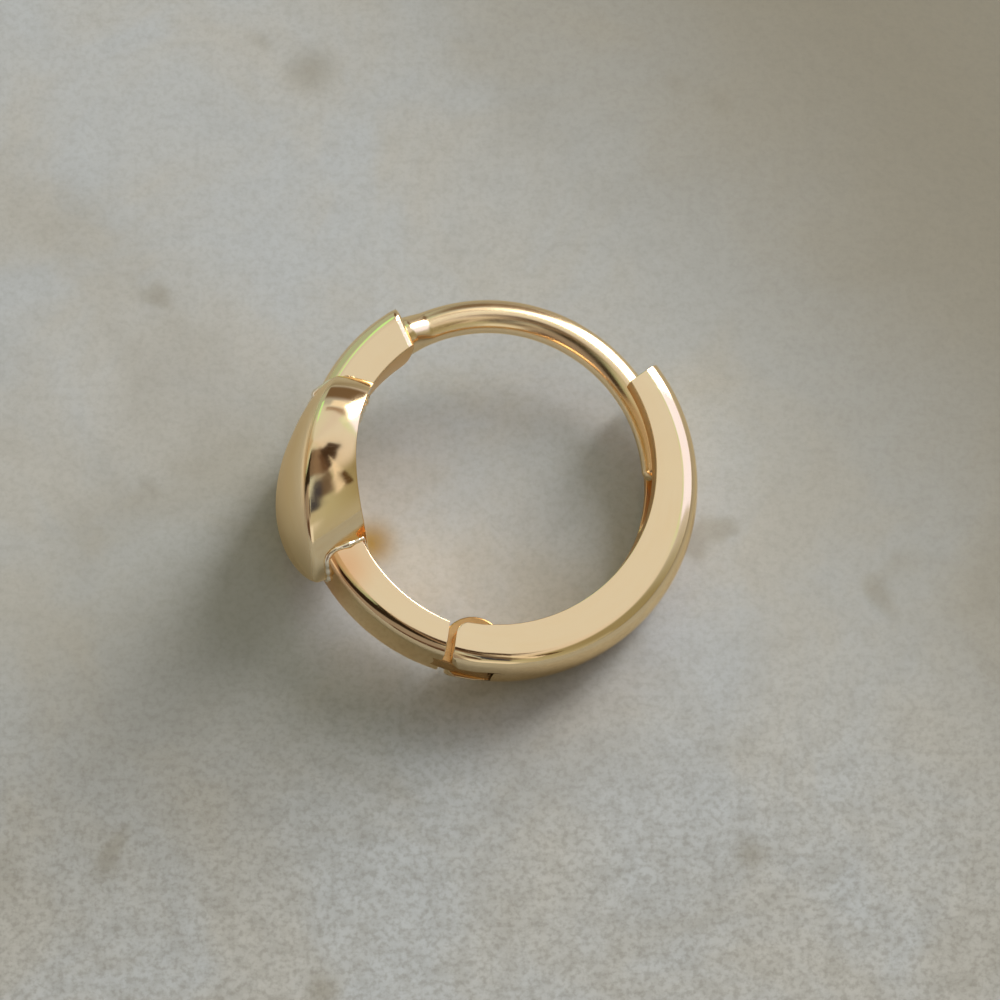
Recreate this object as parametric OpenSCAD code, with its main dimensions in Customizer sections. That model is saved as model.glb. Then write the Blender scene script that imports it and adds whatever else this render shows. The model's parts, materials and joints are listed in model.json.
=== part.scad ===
// Hinged hoop earring with a puffed heart charm, closed and lying on its side as it would rest.
// Each piece is drawn round the hoop: X to the back, Y to the ear, Z along the hinge pin. The charm is at
// the front, minus X. place() then lays the closed hoop down on the charm's lobe and the band's far edge.

/* [Band] */
// Width of the band between its two flat faces
band_w = 2.2; // [2:0.05:2.4]
// Radius of the outer edge of the flat faces
face_r = 5.22; // [5.1:0.02:5.5]
// How far the front arch's crowned outside stands out past that edge
front_crown_h = 0.45; // [0.4:0.01:0.6]
// How far the back arch's crowned outside stands out past that edge
back_crown_h = 0.6; // [0.56:0.01:0.7]
// Radius of the rounded edges of the front arch's outside
front_edge_r = 0.3; // [0.2:0.01:0.35]
// Radius of the rounded edges of the back arch's outside
back_edge_r = 0.5; // [0.3:0.01:0.52]
// Wall of the front arch, from the edge of its flat faces in to its inside
front_wall = 0.59; // [0.5:0.01:0.7]
// Centre of the inside of the front arch, along X
front_bore_x = 0.18; // [0.1:0.01:0.25]
// Centre of the inside of the front arch, along Y
front_bore_y = -0.13; // [-0.2:0.01:-0.05]
// Wall of the back arch, from the edge of its flat faces in to its inside
back_wall = 0.43; // [0.4:0.01:0.5]
// Centre of the inside of the back arch, along X
back_bore_x = -0.31; // [-0.35:0.01:-0.2]
// Centre of the inside of the back arch, along Y
back_bore_y = 0.27; // [0.2:0.01:0.35]
// Angle from X of the front arch's upper end, at the edge of its flat faces
front_end_a = 122.5; // [118:0.5:130]
// How far that end face is turned from the line to the hoop's middle
front_end_turn = 8; // [0:1:12]
// Angle from X at which the back arch has its tip
back_tip_a = 37; // [30:1:45]

/* [Ear post] */
// Diameter of the ear post's wire
wire_d = 0.95; // [0.8:0.05:1]
// How far the middle of the ear post's wire lies in from the edge of the flat faces
post_in = 0.47; // [0.42:0.01:0.5]
// Centre of the ear post's bend, along X
post_x = -0.03; // [-0.05:0.01:0]
// Centre of the ear post's bend, along Y
post_y = 0.14; // [0.1:0.01:0.2]
// Angle from X at which the ear post ends inside the back arch
post_end_a = 0; // [-5:1:10]
// How far the ear post's root runs into the front arch, as an angle
post_root_a = 5; // [3:1:8]
// Room round the ear post in its groove
groove_gap = 0.05; // [0.03:0.01:0.08]
// Length of the groove past the ear post's end, as an angle
groove_spare_a = 20; // [10:1:25]

/* [Hinge] */
// Angle from X at which the hinge pin sits
hinge_a = -97.8; // [-100:0.1:-95]
// How far the hinge pin lies in from the edge of the flat faces
pin_in = 0.16; // [0.12:0.01:0.22]
// Diameter of the hinge pin
pin_d = 0.6; // [0.5:0.02:0.64]
// Room round the pin in the ears that grip it
pin_grip_gap = 0.01; // [0.005:0.005:0.015]
// Room round the pin in the tongue that turns on it
pin_play = 0.03; // [0.02:0.005:0.05]
// Metal left over the pin's end in the near ear
blind_skin = 0.2; // [0.15:0.05:0.3]
// How far each end of the pin stays short of its hole
pin_end_gap = 0.02; // [0.01:0.01:0.05]
// Thickness of the tongue between the ears
tongue_t = 0.75; // [0.6:0.05:0.8]
// Room between the tongue and each ear
tongue_gap = 0.04; // [0.03:0.01:0.06]
// Radius of the tongue's round knuckle
knuckle_r = 0.9; // [0.85:0.01:0.95]
// Room round the knuckle at the bottom of the slot
knuckle_gap = 0.06; // [0.05:0.01:0.1]
// Distance from the pin to the front arch's shoulder
shoulder_d = 0.83; // [0.82:0.01:0.88]
// Gap between that shoulder and the ends of the ears
shoulder_gap = 0.22; // [0.2:0.01:0.25]
// Room between the shoulder and the ears' outer corners as they swing past it
ear_swing_gap = 0.03; // [0.02:0.01:0.05]
// Radius of the ears' inner corners
ear_corner_r = 0.37; // [0.2:0.01:0.4]

/* [Charm] */
// Radius of each of the heart's two lobes
lobe_r = 1.5; // [1.4:0.02:1.6]
// Distance of each lobe's middle from the heart's centre line
lobe_side = 1.3; // [1.2:0.02:1.4]
// Height of the lobes' middles above the hoop's middle
lobe_up = 1; // [0.8:0.05:1.1]
// Depth of the heart's tip below the hoop's middle
tip_down = 3.2; // [3:0.05:3.3]
// Radius of the curve from each lobe to the tip
flank_r = 4; // [3.8:0.1:5]
// Height of the puffed front's crest below the hoop's middle
crest_down = 0.1; // [0:0.05:0.3]
// How far the charm's hollow back lies in from the edge of the flat faces
charm_back_in = 0.86; // [0.82:0.01:0.92]
// How much larger than the flat faces' edge the curve is that the charm's front rim follows
rim_out = 0.38; // [0.3:0.02:0.5]
// Centre of that curve, along X
rim_x = -0.1; // [-0.2:0.02:0]
// Centre of that curve, along Y
rim_y = -0.7; // [-0.8:0.05:-0.5]
// How far the puffed front stands out past the rim
dome_h = 0.5; // [0.3:0.05:0.7]
// Share of the front's height that the back keeps at the tip
back_share_tip = 0.76; // [0.7:0.01:0.9]
// Share of the front's height that the back keeps at the lobes
back_share_top = 0.93; // [0.85:0.01:1]

/* [Rest] */
// Direction from the hoop's middle of the edge that it rests on, as an angle from X
rest_a = -32; // [-45:1:0]

/* [Hidden] */
$fn = 96;
GOLD = "#e0c68f";
half_w = band_w / 2;
front_bore_r = face_r - front_wall;
back_bore_r = face_r - back_wall;
post_r = face_r - post_in;
pin_place_r = face_r - pin_in;
charm_back_r = face_r - charm_back_in;
rim_r = face_r + rim_out;
charm_w = 2 * (lobe_side + lobe_r);
front_outer_r = face_r + front_crown_h;
back_outer_r = face_r + back_crown_h;
// Cutting tools and blanks run this far past what they cut or fill, as a length and as an angle.
spare = 1;
spare_a = 15;
pin_r = pin_d / 2;
pin_at = pin_place_r * [cos(hinge_a), sin(hinge_a)];
ear_end_d = shoulder_d - shoulder_gap;
ear_in_d = pin_place_r - bore_reach(back_bore_r, [back_bore_x, back_bore_y], hinge_a);
shoulder_a = hinge_a - asin(shoulder_d / pin_place_r);
groove_r = wire_d / 2 + groove_gap;
// The band's rounded edges meet its flat faces at this small angle.
crease_a = 4;

// Both arms of the front arch end inside the charm, where its outline still covers their full width.
upper_arm_in_a = 180 - asin((lobe_up + lobe_r / 2) / front_outer_r);
lower_arm_in_a = -180 + asin(tip_down / 2 / front_outer_r);

// The heart's outline: one half is a lobe's arc and a flank's arc, which touch at flank_from.
lobe_at = [lobe_side, lobe_up];
tip_at = [0, -tip_down];
flank_at = flank_centre(lobe_at, lobe_r, tip_at, flank_r);
flank_from = flank_at + flank_r * (lobe_at - flank_at) / norm(lobe_at - flank_at);
// The rings of the puffed front shrink towards this point.
heart_mid = [0, -crest_down];
outline_steps = 64;
dome_steps = 9;
// The side wall's blank starts this share of its depth inside the hollow back, which is then bored.
wall_start = -0.35;
// Power of the puffed front's profile: a higher one is flatter in the middle and rounder at the rim.
puff = 3;

// Centre of a rounded edge's arc, as [out from the hoop's middle, up from the band's middle].
function edge_centre(edge_r) = [face_r - edge_r * sin(crease_a), half_w - edge_r * cos(crease_a)];

// Radius from the hoop's middle at which a line at angle a meets a bore that is off centre.
function bore_reach(r, at, a) =
    let (along = at * [cos(a), sin(a)])
    along + sqrt(pow(along, 2) - at * at + r * r);

// Centre of the circle of radius big that holds the lobe's circle, touches it and passes through the tip.
function flank_centre(lobe, r, tip, big) =
    let (
        span = lobe - tip,
        gap = norm(span),
        along = (pow(gap, 2) + pow(big, 2) - pow(big - r, 2)) / (2 * gap),
        aside = sqrt(pow(big, 2) - pow(along, 2)),
        way = span / gap
    )
    tip + along * way + aside * [-way.y, way.x];

// Distance from heart_mid to a circle, along the unit vector way.
function reach(at, r, way) =
    let (
        from = at - heart_mid,
        along = from * way
    )
    along + sqrt(pow(along, 2) - from * from + r * r);

// A point of the outline, as [sideways, up], at angle a from straight up.
function outline_point(a) =
    let (
        way = [abs(sin(a)), cos(a)],
        side = a > 180 ? -1 : 1,
        to_flank = atan2(flank_from.x - heart_mid.x, flank_from.y - heart_mid.y),
        on_lobe = min(a, 360 - a) < to_flank,
        far = on_lobe ? reach(lobe_at, lobe_r, way) : reach(flank_at, flank_r, way)
    )
    [side * far * way.x, heart_mid.y + far * way.y];

// X of the rim's curve and of the hollow back at height y.
function rim_at(y) = rim_x - sqrt(pow(rim_r, 2) - pow(y - rim_y, 2));
function back_at(y) = -sqrt(pow(charm_back_r, 2) - pow(y, 2));

// Share of its height that an outline point keeps at the back.
function back_share(y) =
    back_share_tip + (back_share_top - back_share_tip) * (y + tip_down) / (lobe_up + lobe_r + tip_down);

// A point of the side wall: depth 0 is the back edge, depth 1 the rim.
function wall_point(p, depth) =
    let (
        back_y = p.y * back_share(p.y),
        back = [back_at(back_y), back_y],
        rim = [rim_at(p.y), p.y],
        at = back + (rim - back) * depth
    )
    [at.x, at.y, p.x];

// A point of the puffed front: angle 0 is the rim, angle 90 the crest.
function dome_point(p, a) =
    let (at = heart_mid + (p - heart_mid) * pow(cos(a), 2 / puff))
    [rim_at(at.y) - dome_h * sin(a), at.y, at.x];

outline = [for (i = [0 : outline_steps - 1]) outline_point(360 * i / outline_steps)];

// Tilt that brings the charm's lowest back corner down to the surface that the band's rounded edge rests on.
rest_way = [cos(rest_a), sin(rest_a)];
rest_at = edge_centre(back_edge_r);
rest_tilt = max([
    for (p = outline)
        let (
            at = wall_point(p, 0),
            from = [rest_at.x - [at.x, at.y] * rest_way, at.z - rest_at.y]
        )
        atan2(from.y, from.x) - asin(back_edge_r / norm(from))
]);
rest_lift = rest_at * [sin(rest_tilt), cos(rest_tilt)] + back_edge_r;
charm_out_r = dome_h - rim_at(0);
post_top = post_y + post_r + wire_d / 2;
centre_shift = [(charm_out_r - back_outer_r) / 2 * cos(rest_tilt), (back_outer_r - post_top) / 2];

module place() {
    translate([centre_shift.x, centre_shift.y, rest_lift])
        rotate([0, 0, rest_a])
            rotate([0, rest_tilt, 0])
                rotate([0, 0, -rest_a])
                    children();
}

module sector(r, from_a, to_a) {
    mid_a = (from_a + to_a) / 2;
    intersection() {
        circle(r);
        polygon(concat([[0, 0]], [for (a = [from_a, mid_a, to_a]) 2 * r * [cos(a), sin(a)]]));
    }
}

// A whole hoop's blank: flat faces, and a crowned outside between two rounded edges. Each rounded edge stands
// a hair proud of the flat face and of the crown, and so crosses both of them.
module hoop_blank(crown_h, edge_r) {
    edge_at = edge_centre(edge_r);
    under_r = edge_r * cos(crease_a);
    crown_top = face_r + crown_h;
    out = crown_top - edge_at.x;
    crown_arc_r = (pow(out, 2) + pow(edge_at.y, 2) - pow(under_r, 2)) / (2 * (out - under_r));
    crown_half_a = asin(edge_at.y / (crown_arc_r - under_r));
    rotate_extrude()
        intersection() {
            translate([spare, -half_w])
                square([crown_top, band_w]);
            union() {
                translate([0, -band_w])
                    square([edge_at.x, 2 * band_w]);
                translate([crown_top - crown_arc_r, 0])
                    sector(crown_arc_r, -crown_half_a, crown_half_a);
                for (side = [-1, 1])
                    translate([edge_at.x, side * edge_at.y])
                        circle(edge_r);
            }
        }
}

// The part of the plane between two angles, out past the hoop.
module wedge(from_a, to_a) {
    steps = 6;
    polygon(concat([[0, 0]], [
        for (i = [0 : steps])
            let (a = from_a + (to_a - from_a) * i / steps)
            2 * back_outer_r * [cos(a), sin(a)]
    ]));
}

// The plane as seen from the hinge pin: X along the band towards the back, Y towards the hoop's middle.
module at_pin() {
    translate(pin_at)
        rotate(hinge_a + 90)
            children();
}

module front_plan(from_a, to_a) {
    difference() {
        wedge(from_a, to_a);
        translate([front_bore_x, front_bore_y])
            circle(front_bore_r);
    }
}

// What is cut away past the front arch's turned upper end.
module past_upper_end() {
    rotate(front_end_a)
        translate([face_r, 0])
            rotate(-front_end_turn)
                translate([-face_r, -face_r])
                    square([face_r + 2 * spare, face_r]);
}

module arms() {
    intersection() {
        hoop_blank(front_crown_h, front_edge_r);
        union() {
            linear_extrude(band_w + spare, center = true) {
                front_plan(lower_arm_in_a, shoulder_a);
                difference() {
                    front_plan(front_end_a - spare_a, upper_arm_in_a);
                    past_upper_end();
                }
            }
            linear_extrude(tongue_t, center = true) {
                front_plan(shoulder_a - spare_a, hinge_a);
                at_pin()
                    circle(knuckle_r);
            }
        }
    }
}

module pin_hole(gap, length) {
    translate([pin_at.x, pin_at.y, -length / 2])
        cylinder(r = pin_r + gap, h = length);
}

module post() {
    translate([post_x, post_y, 0])
        rotate([0, 0, post_end_a])
            rotate_extrude(angle = front_end_a + post_root_a - post_end_a)
                translate([post_r, 0])
                    circle(wire_d / 2);
}

// One closed surface through rings of the same number of points, with a point closing each end.
module skin(first, rings, last) {
    n = len(rings[0]);
    end = 1 + n * len(rings);
    faces = concat(
        [for (i = [0 : n - 1]) [0, 1 + (i + 1) % n, 1 + i]],
        [
            for (j = [0 : len(rings) - 2])
                for (i = [0 : n - 1])
                    let (
                        a = 1 + j * n + i,
                        b = 1 + j * n + (i + 1) % n
                    )
                    each [[a, b, b + n], [a, b + n, a + n]]
        ],
        [for (i = [0 : n - 1]) [end, end - n + i, end - n + (i + 1) % n]]
    );
    polyhedron(points = concat([first], [for (ring = rings) each ring], [last]), faces = faces);
}

module charm() {
    walls = [for (depth = [wall_start, 1]) [for (p = outline) wall_point(p, depth)]];
    dome = [for (j = [1 : dome_steps - 1]) [for (p = outline) dome_point(p, 90 * j / dome_steps)]];
    difference() {
        skin([spare - charm_back_r, 0, 0], concat(walls, dome), dome_point(heart_mid, 90));
        cylinder(r = charm_back_r, h = 2 * charm_w, center = true);
    }
}

module front_arch() {
    color(GOLD)
        place()
            difference() {
                union() {
                    arms();
                    post();
                    charm();
                }
                pin_hole(pin_play, band_w + spare);
            }
}

module back_plan() {
    difference() {
        wedge(hinge_a - spare_a, back_tip_a);
        translate([back_bore_x, back_bore_y])
            circle(back_bore_r);
        at_pin()
            translate([-ear_end_d - face_r, -face_r])
                square([face_r, 2 * face_r]);
        at_pin()
            difference() {
                translate([-face_r, -face_r])
                    square(face_r);
                circle(shoulder_d - ear_swing_gap);
            }
        at_pin()
            translate([ear_corner_r - ear_end_d, ear_in_d - ear_corner_r])
                difference() {
                    translate([-spare, 0])
                        square(spare);
                    circle(ear_corner_r);
                }
    }
}

// Groove for the ear post, open to the inside of the hoop and at the tip.
module groove() {
    from_a = post_end_a - groove_spare_a;
    translate([post_x, post_y, 0])
        rotate([0, 0, from_a])
            rotate_extrude(angle = back_tip_a + spare_a - from_a) {
                translate([post_r, 0])
                    circle(groove_r);
                translate([post_r - spare, -groove_r])
                    square([spare, 2 * groove_r]);
            }
}

module back_arch() {
    color(GOLD)
        place()
            difference() {
                intersection() {
                    hoop_blank(back_crown_h, back_edge_r);
                    linear_extrude(band_w + spare, center = true)
                        back_plan();
                }
                groove();
                translate([pin_at.x, pin_at.y, 0])
                    cylinder(r = knuckle_r + knuckle_gap, h = tongue_t + 2 * tongue_gap, center = true);
                translate([pin_at.x, pin_at.y, -half_w - spare])
                    cylinder(r = pin_r + pin_grip_gap, h = band_w + spare - blind_skin);
            }
}

module hinge_pin() {
    color(GOLD)
        place()
            translate([pin_at.x, pin_at.y, -half_w + pin_end_gap])
                cylinder(r = pin_r, h = band_w - blind_skin - 2 * pin_end_gap);
}

front_arch();
back_arch();
hinge_pin();
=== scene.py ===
import json
import math
import bmesh
import bpy
from mathutils import Matrix, Vector, noise
from mathutils.bvhtree import BVHTree


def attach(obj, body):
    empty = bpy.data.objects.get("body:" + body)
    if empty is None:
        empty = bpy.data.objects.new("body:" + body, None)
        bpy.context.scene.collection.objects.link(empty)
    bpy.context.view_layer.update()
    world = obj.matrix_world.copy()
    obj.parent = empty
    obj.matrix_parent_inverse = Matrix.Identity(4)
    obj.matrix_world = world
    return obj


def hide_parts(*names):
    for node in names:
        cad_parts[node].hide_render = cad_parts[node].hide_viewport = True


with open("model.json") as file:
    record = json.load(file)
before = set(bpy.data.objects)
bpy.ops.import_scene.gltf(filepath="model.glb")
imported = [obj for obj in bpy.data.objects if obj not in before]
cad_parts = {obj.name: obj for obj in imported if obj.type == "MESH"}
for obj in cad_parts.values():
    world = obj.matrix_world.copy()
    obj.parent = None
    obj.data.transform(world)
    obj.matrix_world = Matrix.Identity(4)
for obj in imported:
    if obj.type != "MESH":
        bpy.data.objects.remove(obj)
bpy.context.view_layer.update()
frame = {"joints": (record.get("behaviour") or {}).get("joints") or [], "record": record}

# The front band: the two arms of the front half of the hoop, one above and one below the charm.
# Solid 9 carat yellow gold, cast with flat faces and a crowned outside, then polished. Sizes are in
# millimetres round the hoop: X to the back, Y to the ear, Z along the hinge pin.
MM = 0.001
TURN = math.tau
HALF_W = 1.1
FACE_R = 5.22
FRONT_FACE = 5.28
FRONT_CROWN = 0.39
FRONT_EDGE = 0.37
FRONT_WALL = 0.59
FRONT_BORE = (0.18, -0.13)
FRONT_END_A = 122.5
FRONT_END_TURN = 8
UPPER_ROOT_A = 162.5
LOWER_ROOT_A = -164
PIN_IN = 0.16
HINGE_A = -97.8
SHOULDER_D = 0.83
EASED_EDGE = 0.022
BORE_SWELL = 0.05
FRONT_END_ROUND = 0.24
FLAT_SHARE = 0.9995
BEVEL_STEPS = 3
SHARP_A = 35
BORE_STEPS = 6
EDGE_STEPS = 10
CROWN_STEPS = 28
FLAT_HOLD = 0.03
PROFILE_INNER = 1.0
ROUND_STEPS = 12
UPPER_STEPS = 60
LOWER_STEPS = 90

PIN_R_AT = FACE_R - PIN_IN
PIN_AT = Vector((math.cos(math.radians(HINGE_A)), math.sin(math.radians(HINGE_A)))) * PIN_R_AT
hinge = frame["joints"][0]
ear_mount = frame["record"]["mounts"][0]
pin_way = -Vector(hinge["axis"])
back_way = Vector(ear_mount["axis"])
ear_way = pin_way.cross(back_way)
hoop_turn = Matrix((back_way, ear_way, pin_way)).transposed()
hoop_mid = Vector(hinge["pos_m"]) - hoop_turn @ Vector((PIN_AT.x, PIN_AT.y, 0)) * MM
LAID = Matrix.Translation(hoop_mid) @ hoop_turn.to_4x4() @ Matrix.Scale(MM, 4)


def polar(r, a, z=0.0):
    return Vector((r * math.cos(a), r * math.sin(a), z))


def bore_reach(bore, bore_r, a):
    """Radius from the hoop's middle at which a line at angle a meets an inside that is off centre."""
    along = bore[0] * math.cos(a) + bore[1] * math.sin(a)
    return along + math.sqrt(along**2 - bore[0] ** 2 - bore[1] ** 2 + bore_r**2)


def band_profile(face_r, crown, edge):
    """Points [out, up] round the band's section: a swelled inside, flat faces, rounded edges and a crown.

    The inside lies at PROFILE_INNER until reached() moves it to the bore.
    """
    edge_up = HALF_W - edge
    arc_r = (crown**2 + edge_up**2 - edge**2) / (2 * (crown - edge))
    crown_a = math.asin(edge_up / (arc_r - edge))
    crown_mid = face_r + crown - arc_r
    upper = []
    for i in range(1, BORE_STEPS):
        share = i / BORE_STEPS
        upper.append((PROFILE_INNER - BORE_SWELL * (1 - share**2), HALF_W * share))
    for out in (PROFILE_INNER, PROFILE_INNER + 2 * FLAT_HOLD, face_r - FLAT_HOLD):
        upper.append((out, HALF_W))
    for i in range(EDGE_STEPS):
        a = math.pi / 2 + (crown_a - math.pi / 2) * i / EDGE_STEPS
        upper.append((face_r + edge * math.cos(a), edge_up + edge * math.sin(a)))
    for i in range(CROWN_STEPS):
        a = crown_a * (1 - i / CROWN_STEPS)
        upper.append((crown_mid + arc_r * math.cos(a), arc_r * math.sin(a)))
    lower = [(out, -up) for out, up in reversed(upper)]
    return upper + [(face_r + crown, 0.0)] + lower + [(PROFILE_INNER - BORE_SWELL, 0.0)]


def reached(out, inner):
    """The radius of a profile's point: one near the inside moves with the bore."""
    return out - PROFILE_INNER + inner if out < 2 * PROFILE_INNER else out


def line_angle(from_a, turned, r):
    """Angle at which radius r meets a line through the face's edge at from_a, turned from the radius."""
    at = polar(FACE_R, math.radians(from_a))
    way = polar(1, math.radians(from_a - turned))
    along = -at.dot(way) + math.sqrt(at.dot(way) ** 2 - FACE_R**2 + r**2)
    point = at + way * along
    return math.atan2(point.y, point.x)


def skinned(rings):
    """A closed shape through rings of points, with a flat face over each end ring."""
    shape = bmesh.new()
    grid = [[shape.verts.new(point) for point in ring] for ring in rings]
    for low, high in zip(grid, grid[1:]):
        for i in range(len(low)):
            j = (i + 1) % len(low)
            shape.faces.new((low[i], low[j], high[j], high[i]))
    shape.faces.new(list(reversed(grid[0])))
    shape.faces.new(grid[-1])
    bmesh.ops.recalc_face_normals(shape, faces=shape.faces)
    return shape


def as_object(name, shape):
    mesh = bpy.data.meshes.new(name)
    shape.to_mesh(mesh)
    shape.free()
    mesh.shade_smooth()
    piece = bpy.data.objects.new(name, mesh)
    bpy.context.scene.collection.objects.link(piece)
    return piece


def finished(name, shapes, cuts=(), eased=EASED_EDGE, sharp=SHARP_A):
    """One piece from shapes in hoop millimetres, cut and with its sharp edges eased, laid in the frame.

    Faces across the pin are lit as truly flat ones.
    """
    piece = as_object(name, shapes[0])
    tools = []
    for kind, shape in [("UNION", s) for s in shapes[1:]] + [("DIFFERENCE", s) for s in cuts]:
        tool = as_object(name + "_tool", shape)
        joined = piece.modifiers.new(kind, "BOOLEAN")
        joined.operation = kind
        joined.solver = "EXACT"
        joined.object = tool
        tools.append(tool)
    if eased:
        edges = piece.modifiers.new("eased", "BEVEL")
        edges.width = eased
        edges.segments = BEVEL_STEPS
        edges.limit_method = "ANGLE"
        edges.angle_limit = math.radians(sharp)
        edges.use_clamp_overlap = False
        edges.harden_normals = True
    bpy.context.view_layer.update()
    made = bpy.data.meshes.new_from_object(piece.evaluated_get(bpy.context.evaluated_depsgraph_get()))
    piece.modifiers.clear()
    piece.data = made
    made.name = name
    ways = [Vector(corner.vector) for corner in made.corner_normals]
    for face in made.polygons:
        if abs(face.normal.z) > FLAT_SHARE:
            for corner in face.loop_indices:
                ways[corner] = face.normal.copy()
    made.normals_split_custom_set(ways)
    made.transform(LAID)
    for tool in tools:
        bpy.data.objects.remove(tool)
    return piece


def arm(end_angle, root_a, count, end_round=0.0):
    """One arm as a closed shape, from an end face given as an angle for each radius to its root.

    The edge of the end face towards both flats is rounded by end_round.
    """
    turns = [math.pi / 2 * i / ROUND_STEPS for i in range(ROUND_STEPS)] if end_round else []
    stations = [(end_round * (1 - math.cos(t)), end_round * (1 - math.sin(t)), 0.0) for t in turns]
    stations += [(end_round, 0.0, i / count) for i in range(count + 1)]
    way = math.copysign(1, root_a)
    rings = []
    for back, drop, share in stations:
        ring = []
        for out, up in band_profile(FRONT_FACE, FRONT_CROWN, FRONT_EDGE):
            a = end_angle(FACE_R) * (1 - share) + root_a * share
            r = reached(out, bore_reach(FRONT_BORE, FACE_R - FRONT_WALL, a))
            a = (end_angle(r) + way * back / r) * (1 - share) + root_a * share
            ring.append(polar(r, a, up * (1 - drop / HALF_W)))
        rings.append(ring)
    return skinned(rings)


def upper_end(r):
    return line_angle(FRONT_END_A, FRONT_END_TURN, r)


def shoulder_end(r):
    return math.radians(HINGE_A) - math.asin(SHOULDER_D / r)


upper_arm = arm(upper_end, math.radians(UPPER_ROOT_A), UPPER_STEPS, FRONT_END_ROUND)
lower_arm = arm(shoulder_end, math.radians(LOWER_ROOT_A), LOWER_STEPS)
upper_band = finished("front_band_upper", [upper_arm])
lower_band = finished("front_band_lower", [lower_arm])


# Polished gold, for every piece: clear yellow metal with polishing lines along the band, finer marks
# that cross each other, a faint orange-peel wave, dull smears where it is handled and a tone that drifts.
GOLD_TONES = ((0.95, 0.765, 0.49), (0.93, 0.69, 0.39))
# The deeper tone that the inside is painted towards: painted shade of the hoop's darker inside that it
# reflects.
GOLD_INSIDE_SHADE = (0.86, 0.56, 0.27)
GOLD_HEATED = (0.90, 0.50, 0.24)
GOLD_EDGE = (0.97, 0.86, 0.66)
# Each noise: scale, detail, roughness and, where it has one, bend.
LINE_NOISE = (3.0, 3.0, 0.6)
MARK_NOISE = (1.6, 1.0, 0.5)
WAVE_NOISE = (1.3, 2.0, 0.4, 0.3)
SMEAR_NOISE = (0.9, 4.0, 0.6, 0.8)
SLOW_NOISE = (0.5, 3.0, 0.5)
STREAK_NOISE = (1.4, 2.0)
LINE_STRETCH = (0.6, 14, 14)
MARK_STRETCH = (1.2, 26, 26)
STREAK_STRETCH = (0.4, 3, 3)
MARK_TURNS = ((20, 35, 10), (75, -20, 50), (-40, 60, 130))
MARK_CUT = (0.66, 0.72)
SMEAR_CUT = (0.42, 0.68)
SLOW_CUT = (0.35, 0.7)
STREAK_CUT = (0.4, 0.75)
NOISE_MID = 0.5
MARK_DENT = -0.5
WAVE_HEIGHT = 6.0
HAZE_SHARES = (0.6, 0.4)
TONE_SHARES = (0.6, 0.4)
RING_SOFT = 0.05
ANY_HEIGHT = 4
BUMP_DEPTH = 0.0000002
# The inside, polished less and painted darker as shade of the hoop's inside that it reflects: middle, low and
# high distance, height, roughness, and how much the painted shade deepens its tone.
BAND_WORN_AND_SHADE = ((0, 0), 4.95, 4.85, HALF_W - 0.01, 0.3, 1.0)
# A spot that the torch has reddened: middle, reach and strength.
BAND_HEATED = ((-4.55, -3.0), 1.3, 0.75)


def new_group(name, inputs, outputs):
    group = bpy.data.node_groups.new(name, "ShaderNodeTree")
    for label, kind, value in inputs:
        socket = group.interface.new_socket(label, in_out="INPUT", socket_type=kind)
        if value is not None:
            socket.default_value = value
    for label, kind in outputs:
        group.interface.new_socket(label, in_out="OUTPUT", socket_type=kind)
    return group, group.nodes.new("NodeGroupInput").outputs, group.nodes.new("NodeGroupOutput").inputs


def linked(tree, value, socket):
    """Sets a socket to a value, or links another socket to it."""
    if isinstance(value, bpy.types.NodeSocket):
        tree.links.new(value, socket)
    elif value is not None:
        socket.default_value = value


def math_node(tree, operation, *values):
    node = tree.nodes.new("ShaderNodeMath")
    node.operation = operation
    for socket, value in zip(node.inputs, values):
        linked(tree, value, socket)
    return node.outputs[0]


def ramped(tree, value, low, high, to_low=0.0, to_high=1.0, smooth=True):
    node = tree.nodes.new("ShaderNodeMapRange")
    node.interpolation_type = "SMOOTHSTEP" if smooth else "LINEAR"
    for socket, item in zip(node.inputs, (value, low, high, to_low, to_high)):
        linked(tree, item, socket)
    return node.outputs[0]


def noise_node(tree, place, scale, detail=2.0, rough=0.5, bend=0.0):
    node = tree.nodes.new("ShaderNodeTexNoise")
    linked(tree, place, node.inputs["Vector"])
    linked(tree, scale, node.inputs["Scale"])
    node.inputs["Detail"].default_value = detail
    node.inputs["Roughness"].default_value = rough
    node.inputs["Distortion"].default_value = bend
    return node.outputs["Fac"]


def mixed(tree, share, one, other):
    node = tree.nodes.new("ShaderNodeMix")
    node.data_type = "RGBA"
    linked(tree, share, node.inputs["Factor"])
    linked(tree, one, node.inputs["A"])
    linked(tree, other, node.inputs["B"])
    return node.outputs["Result"]


def hoop_place_group():
    """The surface's place in hoop millimetres, and the same unrolled: along the band, out and across."""
    outputs = [("Place", "NodeSocketVector"), ("Unrolled", "NodeSocketVector")]
    group, _, out = new_group("hoop_place", [], outputs)
    here = group.nodes.new("ShaderNodeTexCoord").outputs["Object"]
    back = LAID.inverted()
    at = []
    for row in range(3):
        dot = group.nodes.new("ShaderNodeVectorMath")
        dot.operation = "DOT_PRODUCT"
        linked(group, here, dot.inputs[0])
        dot.inputs[1].default_value = back[row][:3]
        at.append(math_node(group, "ADD", dot.outputs["Value"], back[row][3]))
    place = group.nodes.new("ShaderNodeCombineXYZ")
    for socket, value in zip(place.inputs, at):
        linked(group, value, socket)
    angle = math_node(group, "ARCTAN2", at[1], at[0])
    squares = [math_node(group, "MULTIPLY", value, value) for value in at[:2]]
    out_r = math_node(group, "SQRT", math_node(group, "ADD", *squares))
    unrolled = group.nodes.new("ShaderNodeCombineXYZ")
    along = math_node(group, "MULTIPLY", angle, FACE_R)
    for socket, value in zip(unrolled.inputs, (along, out_r, at[2])):
        linked(group, value, socket)
    linked(group, place.outputs[0], out["Place"])
    linked(group, unrolled.outputs[0], out["Unrolled"])
    return group


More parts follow.
